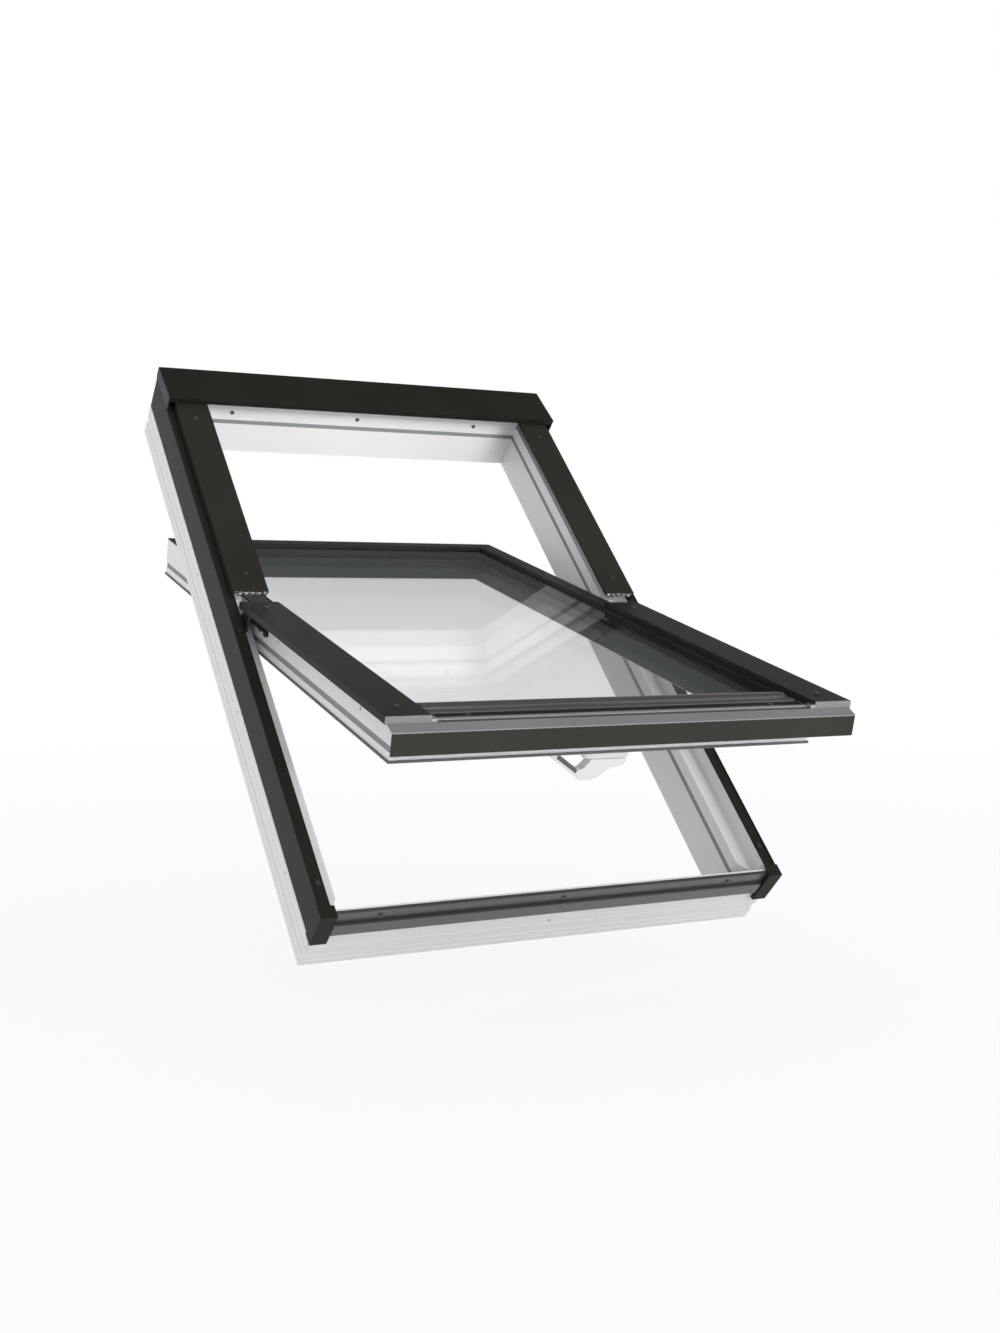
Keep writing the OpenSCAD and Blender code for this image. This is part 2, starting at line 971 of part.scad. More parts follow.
module cover_end_left() {
  color(pale)
    at_sash()
      to_left()
        cover_end();
}

module corner_clips() {
  color(bright)
    at_sash()
      for (side = [0, 1])
        mirror([side, 0, 0])
          block([lap_x - clip_w, bevel_y, z_bevel], [lap_x, bevel_y + clip_len, z_bevel + clip_h]);
}

// Slate lining of the rails' inner faces below the glass
module reveal_lining() {
  color(slate)
    at_sash()
      ring(
        lip_x, lip_bot, lip_top,
        lip_x - lining_t, lip_bot + lining_t, lip_top - lining_t,
        z_room + reveal_c, z_lip
      );
}

module sash_trim() {
  block([lap_x, cover_top + end_gap, z_sash], [sash_x, sash_top, z_sash + trim_t]);
}

module sash_trim_right() {
  color(dark)
    at_sash()
      sash_trim();
}

module sash_trim_left() {
  color(dark)
    at_sash()
      to_left()
        sash_trim();
}

module sash_trim_top() {
  color(dark)
    at_sash()
      block([-lap_x, lap_top, z_sash], [lap_x, sash_top, z_sash + trim_t]);
}

module bottom_strip() {
  color(dark)
    at_sash()
      block([-lap_x, bevel_y, z_sash], [lap_x, lap_bot, z_bevel]);
}

module front_bevel() {
  color(pale)
    at_sash()
      bar_x(2 * front_x)
        polygon([
          [bevel_y, z_bevel], [front_y, z_fascia],
          [front_y, z_fascia - cover_t], [bevel_y, z_bevel - cover_t]
        ]);
}

module front_fascia() {
  low = z_fascia - cover_t - fascia_h;
  color(dark)
    at_sash()
      bar_x(2 * front_x)
        polygon([
          [front_y, z_fascia - cover_t], [front_y, low],
          [front_y + cover_t, low], [front_y + cover_t, z_fascia - cover_t + cover_t * bevel_slope]
        ]);
}

module sash_seal() {
  color(black)
    at_sash()
      ring(
        sash_x + lip_t, sash_bot - lip_t, sash_top + lip_t,
        sash_x, sash_bot, sash_top,
        z_room, z_room + lip_h
      );
}

module sash_band() {
  out = band_d - band_t;
  color(grey)
    at_sash()
      ring(
        sash_x - out, sash_bot + out, sash_top - out,
        sash_x - band_d, sash_bot + band_d, sash_top - band_d,
        z_band - band_w, z_band
      );
}

// Plate on the stile whose boss turns on the pivot pin
module hinge_plate() {
  difference() {
    union() {
      block(
        [sash_x, pivot_y - plate_half, pivot_z - plate_h],
        [sash_x + plate_t, pivot_y + plate_half, pivot_z]
      );
      translate([sash_x, pivot_y, pivot_z])
        rotate([0, 90, 0])
          cylinder(r = eye_r, h = boss_len);
    }
    translate([sash_x - overrun, pivot_y, pivot_z])
      rotate([0, 90, 0])
        cylinder(r = pin_r + pin_clear, h = boss_len + 2 * overrun);
  }
}

module hinge_plate_right() {
  color(bright)
    at_sash()
      hinge_plate();
}

module hinge_plate_left() {
  color(bright)
    at_sash()
      to_left()
        hinge_plate();
}

module sash_screws() {
  color(bright)
    at_sash()
      union() {
        for (side = [-1, 1]) {
          for (y = screw_ys)
            translate([side * (lap_x + cover_x) / 2, y, frame_depth])
              screw();
          translate([side * (lap_x - strip_side), (sash_bot + bevel_y) / 2, z_bevel])
            screw();
        }
      }
}

module handle_base() {
  color(white)
    at_sash()
      translate([handle_x, handle_y, z_base])
        difference() {
          linear_extrude(height = base_t) {
            translate([-base_reach, -base_r])
              square([base_reach + base_end, 2 * base_r]);
            for (x = [-base_reach, base_end])
              translate([x, 0])
                circle(r = base_r);
          }
          translate([0, 0, -overrun])
            cylinder(r = spindle_r + pin_clear, h = base_t + 2 * overrun);
        }
}

// Crescent of the grip, thick at the hub and thin at its free end
module bow() {
  rotate([90, 0, 0])
    linear_extrude(height = grip_w, center = true)
      difference() {
        intersection() {
          translate([-bow_back, bow_r - bow_drop])
            circle(r = bow_r);
          translate([-bow_back - bow_r, -bow_drop])
            square([2 * bow_r, bow_drop]);
        }
        translate([-bow_back - bow_shift, bow_in_r - bow_drop + bow_t])
          circle(r = bow_in_r);
      }
}

module handle_lever() {
  color(white)
    at_sash()
      translate([handle_x, handle_y, 0]) {
        translate([0, 0, z_hub - hub_len])
          cylinder(r = hub_r, h = hub_len);
        translate([0, 0, z_hub - overrun])
          cylinder(r = spindle_r, h = overrun + hub_gap + base_t + spindle_len);
        translate([0, 0, z_hub])
          bow();
      }
}

module lock_bolt() {
  color(bright)
    at_sash()
      translate([0, bolt_y, bolt_z])
        rotate([-90, 0, 0])
          cylinder(r = bolt_r, h = bolt_len);
}

frame_head();
frame_sill();
frame_jamb_left();
frame_jamb_right();
frame_seal();
sill_seal();
side_channel_left();
side_channel_right();
upper_cover_left();
upper_cover_right();
upper_end_left();
upper_end_right();
hood();
hood_cap_left();
hood_cap_right();
sill_cover();
sill_strip();
sill_corner_left();
sill_corner_right();
hinge_bracket_left();
hinge_bracket_right();
striker_plate();
frame_screws();
sash_top_rail();
sash_bottom_rail();
sash_stile_left();
sash_stile_right();
outer_pane();
inner_pane();
glass_spacer();
outer_bead();
inner_bead();
sash_cover_left();
sash_cover_right();
cover_end_left();
cover_end_right();
corner_clips();
sash_trim_left();
sash_trim_right();
sash_trim_top();
bottom_strip();
front_bevel();
front_fascia();
reveal_lining();
sash_seal();
sash_band();
hinge_plate_left();
hinge_plate_right();
sash_screws();
handle_base();
handle_lever();
lock_bolt();
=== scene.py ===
import json
import math

import bmesh
import bpy
from mathutils import Matrix, Vector


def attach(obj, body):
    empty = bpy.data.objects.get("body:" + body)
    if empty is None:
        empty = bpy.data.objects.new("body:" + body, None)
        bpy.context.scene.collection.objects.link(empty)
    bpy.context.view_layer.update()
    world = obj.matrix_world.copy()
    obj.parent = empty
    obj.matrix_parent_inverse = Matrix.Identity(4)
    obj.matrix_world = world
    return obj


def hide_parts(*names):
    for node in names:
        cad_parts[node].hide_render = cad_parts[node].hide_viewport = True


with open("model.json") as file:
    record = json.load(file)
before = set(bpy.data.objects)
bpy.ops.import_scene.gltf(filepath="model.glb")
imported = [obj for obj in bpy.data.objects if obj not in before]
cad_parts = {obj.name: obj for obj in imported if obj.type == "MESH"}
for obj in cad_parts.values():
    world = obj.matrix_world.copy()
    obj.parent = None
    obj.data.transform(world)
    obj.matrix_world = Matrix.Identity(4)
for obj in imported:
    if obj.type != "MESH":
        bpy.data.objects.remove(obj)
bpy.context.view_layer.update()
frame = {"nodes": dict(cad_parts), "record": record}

NODES = frame["nodes"]
scene = bpy.context.scene

# Frames of reference: the roof plane and the open sash, in metres
PITCH = math.radians(45.0)
OPEN = math.radians(31.5)
HALF_H, PROFILE, DEPTH = 0.590, 0.044, 0.144
PIVOT = Vector((0.0, -0.004, 0.134))
ROOF = Matrix.Rotation(PITCH, 4, "X") @ Matrix.Translation((0.0, HALF_H - PROFILE / 2, 0.0))
SASH = (ROOF @ Matrix.Translation(PIVOT) @ Matrix.Rotation(-OPEN, 4, "X")
        @ Matrix.Translation(-PIVOT))
MM = 0.001
SIDES = (-1.0, 1.0)


# Materials

EVEN = (1.0, 1.0, 1.0)
GLASS_IOR = 1.12        # below real glass, for the strength of the reflections in the photo
GLASS_SMEAR = 0.012     # roughest place on the panes


def new_material(name):
    material = bpy.data.materials.new(name)
    material.use_nodes = True
    tree = material.node_tree
    tree.nodes.clear()
    out = tree.nodes.new("ShaderNodeOutputMaterial")
    shader = tree.nodes.new("ShaderNodeBsdfPrincipled")
    tree.links.new(shader.outputs[0], out.inputs[0])
    return material, tree, shader


def noise(tree, scale, detail, stretch=EVEN):
    coords = tree.nodes.new("ShaderNodeTexCoord")
    mapping = tree.nodes.new("ShaderNodeMapping")
    mapping.inputs["Scale"].default_value = stretch
    tree.links.new(coords.outputs["Object"], mapping.inputs["Vector"])
    texture = tree.nodes.new("ShaderNodeTexNoise")
    texture.inputs["Scale"].default_value = scale
    texture.inputs["Detail"].default_value = detail
    tree.links.new(mapping.outputs[0], texture.inputs["Vector"])
    return texture.outputs["Fac"]


def ramp(tree, source, low, high, start=0.3, end=0.7):
    node = tree.nodes.new("ShaderNodeMapRange")
    node.inputs["From Min"].default_value = start
    node.inputs["From Max"].default_value = end
    node.inputs["To Min"].default_value = low
    node.inputs["To Max"].default_value = high
    tree.links.new(source, node.inputs["Value"])
    return node.outputs[0]


def blend_colour(tree, factor, first, second):
    node = tree.nodes.new("ShaderNodeMix")
    node.data_type = "RGBA"
    node.inputs["A"].default_value = (*first, 1.0)
    node.inputs["B"].default_value = (*second, 1.0)
    tree.links.new(factor, node.inputs["Factor"])
    return node.outputs["Result"]


def cloudy_colour(tree, shader, source, first, second):
    """Base colour that drifts between two shades with a noise."""
    colour = blend_colour(tree, ramp(tree, source, 0.0, 1.0), first, second)
    tree.links.new(colour, shader.inputs["Base Color"])


def bump(tree, shader, height, strength, distance):
    node = tree.nodes.new("ShaderNodeBump")
    node.inputs["Strength"].default_value = strength
    node.inputs["Distance"].default_value = distance
    tree.links.new(height, node.inputs["Height"])
    tree.links.new(node.outputs[0], shader.inputs["Normal"])


def finish_material(name, colour, spread, rough, grain, metallic=0.0, coat=0.0, depth=0.0002,
                    strength=0.3, stretch=EVEN, specular=0.5):
    """A coated, moulded or brushed surface: cloudy colour, uneven gloss and a fine grain."""
    material, tree, shader = new_material(name)
    first = tuple(c * (1.0 - spread) for c in colour)
    second = tuple(min(1.0, c * (1.0 + spread)) for c in colour)
    cloudy_colour(tree, shader, noise(tree, 6.0, 5.0), first, second)
    fine = noise(tree, grain, 2.0, stretch)
    tree.links.new(ramp(tree, fine, rough * 0.86, rough * 1.14), shader.inputs["Roughness"])
    shader.inputs["Metallic"].default_value = metallic
    shader.inputs["Coat Weight"].default_value = coat
    shader.inputs["Specular IOR Level"].default_value = specular
    bump(tree, shader, fine, strength, depth)
    return material


def glass_material(name, tint):
    """Clear glass with faint smears."""
    material, tree, shader = new_material(name)
    smear = noise(tree, 2.2, 4.0)
    cloudy_colour(tree, shader, smear, tuple(c * 0.97 for c in tint), tint)
    shader.inputs["Transmission Weight"].default_value = 1.0
    shader.inputs["IOR"].default_value = GLASS_IOR
    tree.links.new(ramp(tree, smear, 0.0, GLASS_SMEAR), shader.inputs["Roughness"])
    return material


# One finish for each slot of the record: colour, its spread, roughness, scale of the grain
MATERIALS = {
    "white_plastic": finish_material("white_plastic", (0.84, 0.84, 0.83), 0.012, 0.36, 900.0,
                                     strength=0.03),
    "handle_white": finish_material("handle_white", (0.84, 0.84, 0.84), 0.012, 0.22, 700.0,
                                    strength=0.08),
    "dark_cladding": finish_material("dark_cladding", (0.0225, 0.0207, 0.0172), 0.14, 0.48,
                                     1600.0, strength=0.35, depth=0.0003, specular=0.08),
    "pale_cladding": finish_material("pale_cladding", (0.28, 0.28, 0.282), 0.05, 0.36, 1400.0,
                                     metallic=0.4, strength=0.25),
    "black_plastic": finish_material("black_plastic", (0.010, 0.010, 0.010), 0.2, 0.5, 1200.0,
                                     strength=0.4, specular=0.3),
    "grey_seal": finish_material("grey_seal", (0.27, 0.28, 0.29), 0.06, 0.6, 500.0, strength=0.3),
    "black_seal": finish_material("black_seal", (0.010, 0.010, 0.011), 0.2, 0.62, 500.0,
                                  strength=0.4, specular=0.3),
    "bright_steel": finish_material("bright_steel", (0.52, 0.52, 0.52), 0.08, 0.32, 800.0,
                                    metallic=1.0, strength=0.2, stretch=(1.0, 8.0, 8.0)),
    "dark_steel": finish_material("dark_steel", (0.11, 0.11, 0.11), 0.1, 0.4, 700.0,
                                  metallic=0.8, strength=0.2),
    # Slate linings of the sash's reveals: painted shade, dark where the white reveals lie in
    # shade behind the glass
    "slate_plastic": finish_material("slate_plastic", (0.044, 0.062, 0.070), 0.06, 0.5, 800.0,
                                     strength=0.15, specular=0.3),
    "window_glass": glass_material("window_glass", (0.990, 0.997, 1.0)),
}

# Nodes whose finish departs from their slot's: glossier rolled sheet, made lighter as painted
# sheen, paler rubber, which on the grip is a band of painted shade, a lighter sheet on the front
# as painted light, a darker one on the hood as painted shade, black trims and dark hinges
# Rolled sheet: the lower roughness and the coat are real gloss; the colour, over twice as light
# as dark_cladding, is painted sheen
ROLLED_PAINTED_SHEEN = finish_material("rolled_cladding_painted_sheen", (0.055, 0.054, 0.052), 0.04, 0.30, 1400.0,
                         strength=0.08, coat=0.25)
# Grey rubber of the sash seal; the same grey on the grip's front is painted shade
PALE_RUBBER_AND_GRIP_SHADE = finish_material("pale_rubber_and_grip_shade", (0.13, 0.13, 0.135), 0.08, 0.55, 500.0,
                              strength=0.3, specular=0.3)
# Front sheet: dark_cladding made lighter, painted light on the front fascia
FRONT_SHEET_PAINTED_LIGHT = finish_material("front_cladding_painted_light", (0.040, 0.0375, 0.0325), 0.10, 0.46, 900.0,
                              strength=0.2, stretch=(0.15, 1.0, 1.0), specular=0.1)
# Hood sheet: dark_cladding made darker, painted shade on the hood
HOOD_SHEET_PAINTED_SHADE = finish_material("hood_cladding_painted_shade", (0.0150, 0.0138, 0.0115), 0.14, 0.48, 1600.0,
                             strength=0.35, depth=0.0003, specular=0.06)
VARIANT = {"front_fascia": FRONT_SHEET_PAINTED_LIGHT, "hood": HOOD_SHEET_PAINTED_SHADE, "sash_seal": PALE_RUBBER_AND_GRIP_SHADE,
           "sill_cover": ROLLED_PAINTED_SHEEN, "sill_strip": ROLLED_PAINTED_SHEEN, "bottom_strip": ROLLED_PAINTED_SHEEN}
for place in ("left", "right", "top"):
    VARIANT["sash_trim_" + place] = MATERIALS["black_plastic"]
for place in ("left", "right"):
    VARIANT["hinge_bracket_" + place] = MATERIALS["dark_steel"]
    VARIANT["hinge_plate_" + place] = MATERIALS["dark_steel"]

SLOT = {entry["node"]: entry["material_slot"] for entry in frame["record"]["subparts"]}
for name, node in NODES.items():
    node.data.materials.clear()
    node.data.materials.append(VARIANT.get(name, MATERIALS[SLOT[name]]))


# Soft edges on the CAD nodes: width by slot, in metres

EDGE = {"white_plastic": 0.0012, "handle_white": 0.0008, "dark_cladding": 0.0007,
        "pale_cladding": 0.0007, "black_plastic": 0.001, "grey_seal": 0.0006,
        "black_seal": 0.0006, "bright_steel": 0.0003, "dark_steel": 0.0003,
        "slate_plastic": 0.0004, "window_glass": 0.0004}


def soften(piece, width, segments, angle):
    """Rounded edges where two faces meet at more than an angle."""
    edge = piece.modifiers.new("edge", "BEVEL")
    edge.width, edge.segments = width, segments
    edge.limit_method, edge.angle_limit = "ANGLE", math.radians(angle)


def shade_smooth(piece):
    piece.modifiers.new("normals", "WEIGHTED_NORMAL").keep_sharp = True
    for polygon in piece.data.polygons:
        polygon.use_smooth = True


for name, node in NODES.items():
    node.modifiers.new("weld", "WELD").merge_threshold = 0.00001
    soften(node, EDGE[SLOT[name]], 2, 35.0)
    shade_smooth(node)


# Added detail, swept along straight runs in the roof's or the sash's plane (mm)

X, Y, Z = (1.0, 0.0, 0.0), (0.0, 1.0, 0.0), (0.0, 0.0, 1.0)
SUNK = 0.4              # how far a half-round goes into what carries it
FRAME_X, FRAME_Y = 390.0, 590.0
MITRE = 4.0             # ribs stop short of the frame's corners
RIB_LEVELS = (10.0, 43.0, 60.0)
STRIP_TOP = 134.5       # upper face of the bottom strip
STRIP_REACH = 297.0
OUTER_PANE, INNER_PANE = 130.0, 110.0
GLASS_X, GLASS_LOW, GLASS_HIGH = 304.0, -535.0, 503.0
PRINT_X, PRINT_LOW, PRINT_HIGH = 302.0, -501.0, 493.0
STILE_X = 342.0         # outer side of the sash


def mesh_piece(name, body, slot, build, finish=None, edge=0.0):
    mesh = bpy.data.meshes.new(name)
    work = bmesh.new()
    build(work)
    bmesh.ops.recalc_face_normals(work, faces=work.faces)
    work.to_mesh(mesh)
    work.free()
    mesh.materials.append(finish or MATERIALS[slot])
    piece = bpy.data.objects.new(name, mesh)
    scene.collection.objects.link(piece)
    if edge:
        soften(piece, edge, 3, 50.0)
    shade_smooth(piece)
    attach(piece, body)
    return piece


def ring(work, turn, points):
    """One loop of vertices, from points in mm in the plane that turn stands for."""
    return [work.verts.new(turn @ (Vector(point) * MM)) for point in points]


def skin(work, rings):
    """Closed surface over a row of loops."""
    for a, b in zip(rings, rings[1:]):
        for i in range(len(a)):
            j = (i + 1) % len(a)
            work.faces.new((a[i], a[j], b[j], b[i]))
    work.faces.new(rings[0])
    work.faces.new(rings[-1])


def sweep(work, turn, start, end, section):
    """Prism from start to end; section is a list of offsets, each a vector in mm."""
    skin(work, [ring(work, turn, [Vector(base) + Vector(off) for off in section])
                for base in (start, end)])


def half_round(across, out, half, height, steps=10):
    """Half-round section: across and out are unit vectors."""
    across, out = Vector(across), Vector(out)
    points = [across * half - out * SUNK]
    for i in range(steps + 1):
        t = math.pi * i / steps
        points.append(across * (half * math.cos(t)) + out * (height * math.sin(t)))
    points.append(-across * half - out * SUNK)
    return points


def flat_section(across, half, low=-0.2, high=0.4):
    """Thin flat section that lies across a unit vector."""
    side, up = Vector(across) * half, Vector(Z)
    return [up * low - side, up * high - side, up * high + side, up * low + side]


def frame_ribs(work):
    """Moulded lines along the outer faces of jambs, sill and head."""
    x, y = FRAME_X - MITRE, FRAME_Y - MITRE
    for level in RIB_LEVELS:
        for side in SIDES:
            sweep(work, ROOF, (side * FRAME_X, -y, level), (side * FRAME_X, y, level),
                  half_round(Z, (side, 0.0, 0.0), 1.6, 1.1))
        for side in SIDES:
            sweep(work, ROOF, (-x, side * FRAME_Y, level), (x, side * FRAME_Y, level),
                  half_round(Z, (0.0, side, 0.0), 1.6, 1.1))


def strip_run(work, y, half, height, steps=10, reach=STRIP_REACH):
    """Half-round along the whole bottom strip."""
    sweep(work, SASH, (-reach, y, STRIP_TOP), (reach, y, STRIP_TOP),
          half_round(Y, Z, half, height, steps))


def strip_bars(work):
    """Rolled bars along the sash's bottom strip."""
    strip_run(work, -553.0, 10.0, 5.0, 14)
    strip_run(work, -577.0, 7.0, 3.5, 12)


def strip_gasket(work):
    """Black joint between the bottom strip's bars and its front lip."""
    strip_run(work, -594.0, 8.5, 1.0)


def strip_lip(work):
    """Pale rolled lip along the front of the bottom strip."""
    strip_run(work, -608.0, 4.0, 2.2, reach=STRIP_REACH + 2.0)


def glazing_lip(work):
    """Black rubber lip where the trim meets the outer pane."""
    for side in SIDES:
        sweep(work, SASH, (side * GLASS_X, GLASS_LOW, OUTER_PANE),
              (side * GLASS_X, GLASS_HIGH, OUTER_PANE), half_round(X, Z, 4.4, 4.2))
    for y in (GLASS_LOW, GLASS_HIGH):
        sweep(work, SASH, (-GLASS_X + 4.0, y, OUTER_PANE), (GLASS_X - 4.0, y, OUTER_PANE),
              half_round(Y, Z, 4.4, 4.2))


def edge_print(work):
    """Black border on the inner pane, from the spacer to the edge of the rails and stiles."""
    for y, half in ((PRINT_LOW - 16.0, 16.0), (PRINT_HIGH + 4.0, 4.0)):
        sweep(work, SASH, (-PRINT_X, y, INNER_PANE), (PRINT_X, y, INNER_PANE),
              flat_section(Y, half))
    for x in (-PRINT_X + 4.0, PRINT_X - 4.0):
        sweep(work, SASH, (x, PRINT_LOW, INNER_PANE), (x, PRINT_HIGH, INNER_PANE),
              flat_section(X, 4.0))


def cover_combs(work):
    """Bright spring teeth at the lower ends of the fixed covers."""
    tooth = [(0, -0.6, -2.4), (0, -0.2, 1.2), (0, 1.2, 2.2), (0, 4.2, 2.2), (0, 4.2, -3.2),
             (0, 0.8, -3.2)]
    for side in SIDES:
        for i in range(5):
            x = side * (324.0 + 10.5 * i)
            sweep(work, ROOF, (x - 3.0, 18.6, 139.6), (x + 3.0, 18.6, 139.6), tooth)


def disc(work, turn, centre, radius, out, rim=1.2, steps=28):
    """Turned button along x with a chamfered rim and a dished face."""
    side = 1.0 if out > 0 else -1.0
    rows = [(radius, -SUNK * side), (radius, out - rim * side), (radius - rim, out),
            (radius * 0.55, out), (radius * 0.42, out - rim * side)]
    turns = [math.tau * k / steps for k in range(steps)]
    skin(work, [ring(work, turn, [(centre[0] + x, centre[1] + r * math.cos(t),
                                   centre[2] + r * math.sin(t)) for t in turns])
                for r, x in rows])


def friction_buttons(work):
    """Friction pads of the hinge on the sash's sides."""
    for side in SIDES:
        disc(work, SASH, (side * STILE_X, -42.0, 112.0), 8.5, side * 7.0)
        disc(work, SASH, (side * STILE_X, -62.0, 106.0), 6.5, side * 5.5)


mesh_piece("frame_ribs", "frame", "white_plastic", frame_ribs)
# The rolled bars take the rolled sheet's lighter colour, a painted sheen
mesh_piece("strip_bars", "sash", "dark_cladding", strip_bars, ROLLED_PAINTED_SHEEN)
mesh_piece("strip_gasket", "sash", "black_seal", strip_gasket)
mesh_piece("strip_lip", "sash", "pale_cladding", strip_lip)
mesh_piece("glazing_lip", "sash", "black_seal", glazing_lip)
mesh_piece("edge_print", "sash", "black_seal", edge_print)
mesh_piece("cover_combs", "frame", "bright_steel", cover_combs)
mesh_piece("friction_buttons", "sash", "black_plastic", friction_buttons)


# Handle: a V-shaped grip under a rounded housing, about the axis of the CAD lever (mm)

HUB = Vector((42.0, -523.0, 53.7))
GRIP_HALF = Vector((0.0, 9.0, 0.0))
GRIP = ((11.0, -14.3), (11.0, -20.0), (3.0, -25.0), (-13.6, -28.5), (-31.0, -39.0),
        (-43.0, -45.0), (-62.3, -45.0), (-118.0, -5.7), (-113.5, -1.5), (-105.5, -1.5),
        (-66.5, -29.0), (-60.0, -27.0), (-52.0, -18.5), (-50.0, -14.3))
# Grey band on the thin arm, painted shade: its outline, and how far it stands out and sinks in
GRIP_SHADE = ((-103.7, -4.2), (-70.2, -27.8), (-72.2, -34.1), (-107.4, -9.4))
GRIP_SHADE_PROUD, GRIP_SHADE_DEEP = Vector((0.0, 0.4, 0.0)), Vector((0.0, 2.0, 0.0))
HOUSING = ((1.0, 11.7), (-7.5, 11.7), (-11.0, 10.9), (-13.2, 9.0), (-14.0, 6.5))
HOUSING_ENDS = (-50.0, 4.0)
HOUSING_STEPS = 48


def rounded(points, radius, steps=5):
    """Outline with its corners drawn as curves."""
    out = []
    for i, point in enumerate(points):
        corner = Vector(point)
        before = Vector(points[i - 1]) - corner
        after = Vector(points[(i + 1) % len(points)]) - corner
        u, v = before.normalized(), after.normalized()
        reach = min(radius / math.tan(u.angle(v) / 2.0), 0.45 * before.length,
                    0.45 * after.length)
        for k in range(steps + 1):
            t = k / steps
            out.append((corner + u * reach) * (1.0 - t) ** 2 + corner * (2.0 * t * (1.0 - t))
                       + (corner + v * reach) * t ** 2)
    return out


def handle_grip(work):
    """Thick arm from the hub to the bend, and a thin arm back up to the free end."""
    section = [(x, 0.0, z) for x, z in rounded(GRIP, 4.0)]
    sweep(work, SASH, HUB - GRIP_HALF, HUB + GRIP_HALF, section)


def grip_painted_shade(work):
    """Grey band on the front of the thin arm: painted shade in place of the arm's shaded inner
    face.
    """
    section = [(x, 0.0, z) for x, z in GRIP_SHADE]
    front = HUB - GRIP_HALF
    sweep(work, SASH, front - GRIP_SHADE_PROUD, front + GRIP_SHADE_DEEP, section)


def handle_housing(work):
    """Rounded housing below the handle's base."""
    rings = []
    for z, radius in HOUSING:
        points = []
        for k in range(HOUSING_STEPS):
            t = math.tau * k / HOUSING_STEPS + math.pi / HOUSING_STEPS
            end = HOUSING_ENDS[1] if math.cos(t) > 0 else HOUSING_ENDS[0]
            points.append(HUB + Vector((end + radius * math.cos(t), radius * math.sin(t), z)))
        rings.append(ring(work, SASH, points))
    skin(work, rings)


grip = mesh_piece("handle_grip", "handle", "handle_white", handle_grip, edge=0.0018)
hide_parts("handle_lever")
# The grip's grey band: painted shade
mesh_piece("grip_painted_shade", "handle", "black_seal", grip_painted_shade, PALE_RUBBER_AND_GRIP_SHADE, 0.0003)
mesh_piece("handle_housing", "sash", "handle_white", handle_housing)


# Floor, world and light, in metres

FLOOR_LEVEL, FLOOR_REACH = -0.085, 14
FLOOR_WHITE = 0.86              # share of plain white in the floor near the object
FLOOR_FADE = (1.2, 4.5)         # distances between which the floor turns all white
SOFT_LIGHT = 0.82               # even light of the world on the object
# Brightness of the backdrop by the height of a ray: white to above the view, duller overhead
BACKDROP = ((0.0, 1.0), (0.353, 1.0), (0.372, 0.12), (0.75, 0.12), (0.95, 0.30))
BACKDROP_RAYS = ("Is Camera Ray", "Is Glossy Ray", "Is Transmission Ray")


def backdrop_rays(tree):
    """1 for the rays that see the backdrop, 0 for those that light the object."""
    path = tree.nodes.new("ShaderNodeLightPath")
    most = path.outputs[BACKDROP_RAYS[0]]
    for name in BACKDROP_RAYS[1:]:
        node = tree.nodes.new("ShaderNodeMath")
        node.operation = "MAXIMUM"
        tree.links.new(most, node.inputs[0])
        tree.links.new(path.outputs[name], node.inputs[1])
        most = node.outputs[0]
    return most


def mix_shaders(tree, factor, first, second, out):
    node = tree.nodes.new("ShaderNodeMixShader")
    tree.links.new(factor, node.inputs["Fac"])
    tree.links.new(first.outputs[0], node.inputs[1])
    tree.links.new(second.outputs[0], node.inputs[2])
    tree.links.new(node.outputs[0], out.inputs[0])


def make_floor():
    """A pale floor: its own shading gives the shadow, and a share of white lifts it."""
    mesh = bpy.data.meshes.new("floor")
    corners = [(x * FLOOR_REACH, y * FLOOR_REACH, FLOOR_LEVEL)
               for x, y in ((-1, -1), (1, -1), (1, 1), (-1, 1))]
    mesh.from_pydata(corners, [], [(0, 1, 2, 3)])
    floor = bpy.data.objects.new("floor", mesh)
    scene.collection.objects.link(floor)
    material, tree, shader = new_material("floor")
    cloudy_colour(tree, shader, noise(tree, 30.0, 2.0), (0.87, 0.87, 0.87), (0.89, 0.89, 0.89))
    shader.inputs["Roughness"].default_value = 0.9
    shader.inputs["Specular IOR Level"].default_value = 0.1
    white = tree.nodes.new("ShaderNodeEmission")
    white.inputs["Strength"].default_value = 1.0
    coords = tree.nodes.new("ShaderNodeTexCoord")
    distance = tree.nodes.new("ShaderNodeVectorMath")
    distance.operation = "LENGTH"
    tree.links.new(coords.outputs["Object"], distance.inputs[0])
    share = tree.nodes.new("ShaderNodeMath")
    share.operation = "MULTIPLY"
    tree.links.new(backdrop_rays(tree), share.inputs[0])
    tree.links.new(ramp(tree, distance.outputs["Value"], FLOOR_WHITE, 1.0, *FLOOR_FADE),
                   share.inputs[1])
    out = next(node for node in tree.nodes if node.type == "OUTPUT_MATERIAL")
    mix_shaders(tree, share.outputs[0], shader, white, out)
    mesh.materials.append(material)


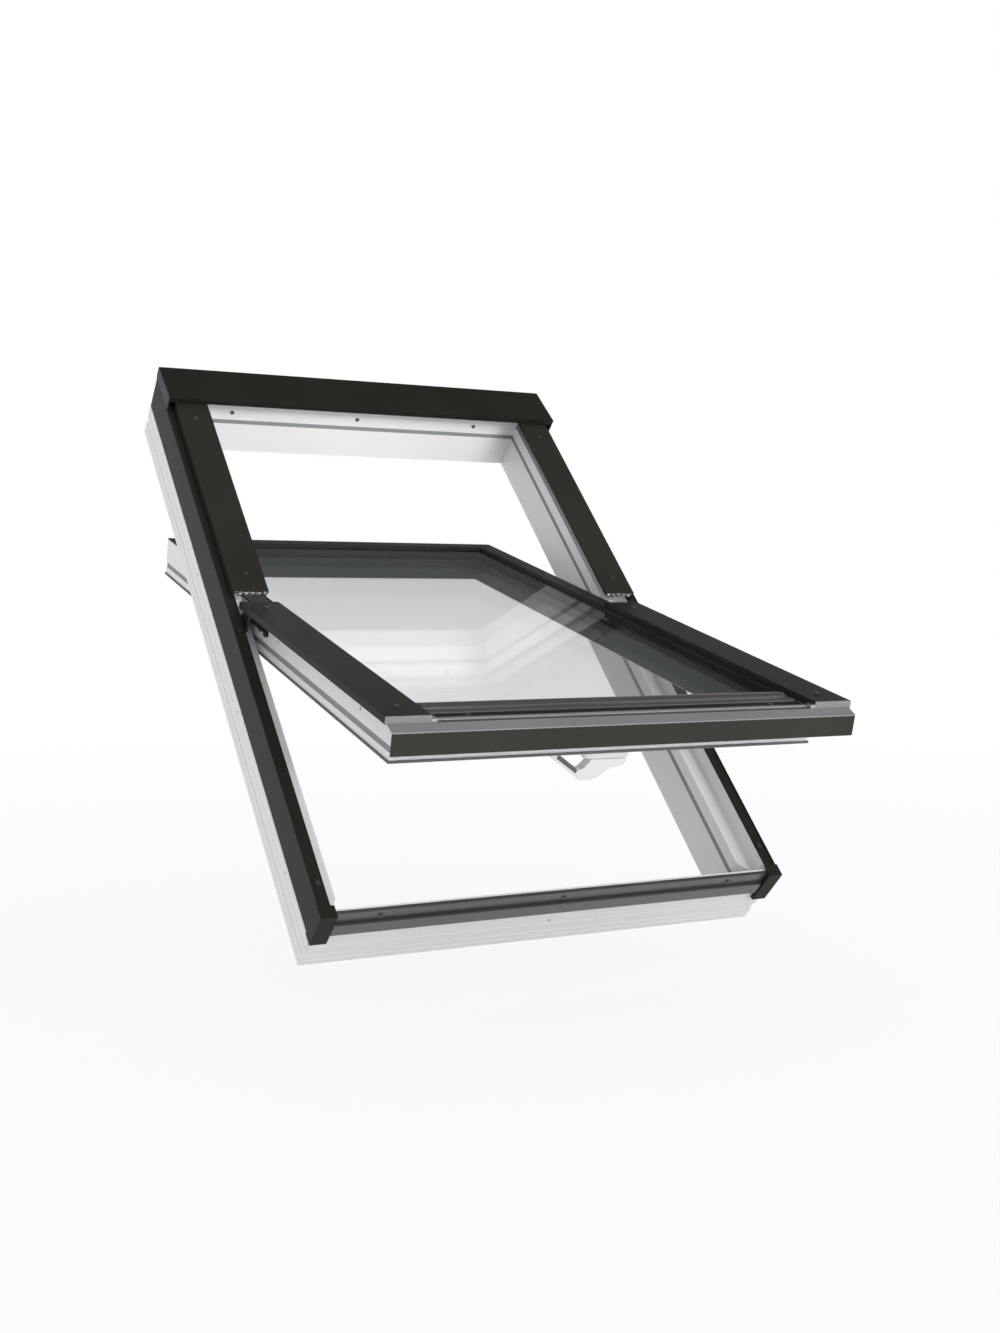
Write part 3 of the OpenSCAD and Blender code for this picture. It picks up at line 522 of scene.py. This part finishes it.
def make_world():
    """An even soft light on the object, and one backdrop for all rays that see it."""
    world = bpy.data.worlds.new("studio")
    scene.world = world
    world.use_nodes = True
    tree = world.node_tree
    tree.nodes.clear()
    out = tree.nodes.new("ShaderNodeOutputWorld")
    white = tree.nodes.new("ShaderNodeBackground")
    white.inputs["Strength"].default_value = 1.0
    soft = tree.nodes.new("ShaderNodeBackground")
    soft.inputs["Color"].default_value = (1.0, 1.0, 1.0, 1.0)
    soft.inputs["Strength"].default_value = SOFT_LIGHT
    coords = tree.nodes.new("ShaderNodeTexCoord")
    split = tree.nodes.new("ShaderNodeSeparateXYZ")
    tree.links.new(coords.outputs["Generated"], split.inputs[0])
    wall = tree.nodes.new("ShaderNodeValToRGB")
    stops = wall.color_ramp.elements
    stops.remove(stops[1])
    for place, level in BACKDROP:
        stop = stops[0] if place == 0.0 else stops.new(place)
        stop.color = (level, level, level, 1.0)
    tree.links.new(split.outputs["Z"], wall.inputs[0])
    tree.links.new(wall.outputs["Color"], white.inputs["Color"])
    mix_shaders(tree, backdrop_rays(tree), soft, white, out)


def area_light(name, place, aim, size, power, spread=180.0):
    data = bpy.data.lights.new(name, "AREA")
    data.shape = "RECTANGLE"
    data.size, data.size_y = size
    data.energy = power
    data.spread = math.radians(spread)
    light = bpy.data.objects.new(name, data)
    light.location = place
    light.rotation_euler = (Vector(aim) - Vector(place)).to_track_quat("-Z", "Y").to_euler()
    scene.collection.objects.link(light)


make_floor()
make_world()
area_light("key", (0.5, -3.8, 1.0), (0.0, 0.75, 1.10), (2.4, 0.9), 9.0, 36.0)
area_light("fill", (2.6, -2.8, 1.6), (0.0, 0.2, 0.4), (2.0, 2.0), 18.0)


# Camera, from the photo's viewing angle: place and axes in the roof's plane

SENSOR = 36.0
FOCAL_PIXELS, PHOTO_HEIGHT = 1571.12, 1333.0
CAMERA_PLACE = Vector((-1.14862, -1.70802, 1.71975 + DEPTH))
CAMERA_RIGHT = Vector((0.8897453, -0.32045789, 0.3250539))
CAMERA_DOWN = Vector((-0.01739339, -0.73540848, -0.67740079))
CAMERA_AHEAD = Vector((0.45612583, 0.59706039, -0.65990009))


def make_camera():
    data = bpy.data.cameras.new("camera")
    data.lens = FOCAL_PIXELS * SENSOR / PHOTO_HEIGHT
    data.sensor_width = SENSOR
    data.clip_end = 100.0
    camera = bpy.data.objects.new("camera", data)
    turn = Matrix.Rotation(PITCH, 3, "X")
    axes = Matrix((turn @ CAMERA_RIGHT, -(turn @ CAMERA_DOWN), -(turn @ CAMERA_AHEAD)))
    place = Matrix.Translation(ROOF @ CAMERA_PLACE)
    camera.matrix_world = place @ axes.transposed().to_4x4()
    scene.collection.objects.link(camera)
    scene.camera = camera


make_camera()
scene.view_settings.view_transform = "Standard"
